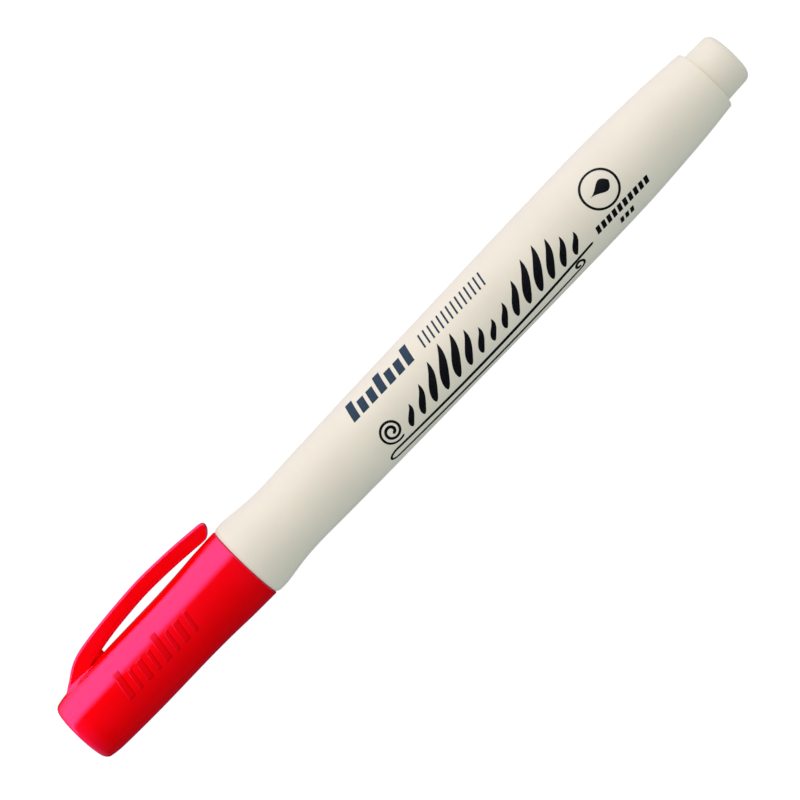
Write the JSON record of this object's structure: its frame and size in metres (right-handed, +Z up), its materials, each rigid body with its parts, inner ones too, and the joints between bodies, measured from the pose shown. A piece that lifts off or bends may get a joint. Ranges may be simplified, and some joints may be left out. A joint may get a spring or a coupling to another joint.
{
  "type": "brush pen",
  "caption": "Capped brush pen: a push-fit cap with a clip closes over a flexible brush tip, a waisted round barrel holds a fibre ink reservoir, and a stepped plug ends it.",
  "frame": {"origin": "centre of the flat face that closes the cap, on the pen's axis", "axes": "+X along the pen from the closed end of the cap to the rear plug, +Y towards the pocket clip, +Z up through the printed side"},
  "size_m": [0.14, 0.0165, 0.0134],
  "materials": {
    "barrel_cream": "smooth satin moulding",
    "cap_red": "soft gloss moulding",
    "natural_plastic": "undyed moulding",
    "brush_fibre": "fine fibres wet with red ink",
    "ink_fibre": "ink-soaked fibre bundle",
    "clear_film": "clear film"
  },
  "bodies": {
    "pen_body": {"barrel": "barrel_cream", "rear_plug": "barrel_cream", "front_section": "barrel_cream", "nib_retainer": "natural_plastic", "brush_root": "brush_fibre", "relay_wick": "ink_fibre", "ink_reservoir": "ink_fibre", "reservoir_film": "clear_film"},
    "brush_head": {"brush_tip": "brush_fibre"},
    "cap_liner": {"inner_cap": "natural_plastic"},
    "cap": {"cap_shell": "cap_red"},
    "clip_blade": {"clip": "cap_red"}
  },
  "joints": [
    {"name": "cap_pull", "type": "slide", "parent": "pen_body", "child": "cap_liner", "axis": [-1, 0, 0], "range_m": [0, 0.045]},
    {"name": "cap_twist", "type": "hinge", "parent": "cap_liner", "child": "cap", "pos_m": [0, 0, 0], "axis": [1, 0, 0], "continuous": true},
    {"name": "clip_flex", "type": "hinge", "parent": "cap", "child": "clip_blade", "pos_m": [0.0116, 0.00785, 0], "axis": [0, 0, 1], "range_deg": [0, 6]},
    {"name": "brush_flex", "type": "hinge", "parent": "pen_body", "child": "brush_head", "pos_m": [0.0146, 0, 0], "axis": [0, 0, 1], "range_deg": [-25, 25]}
  ]
}
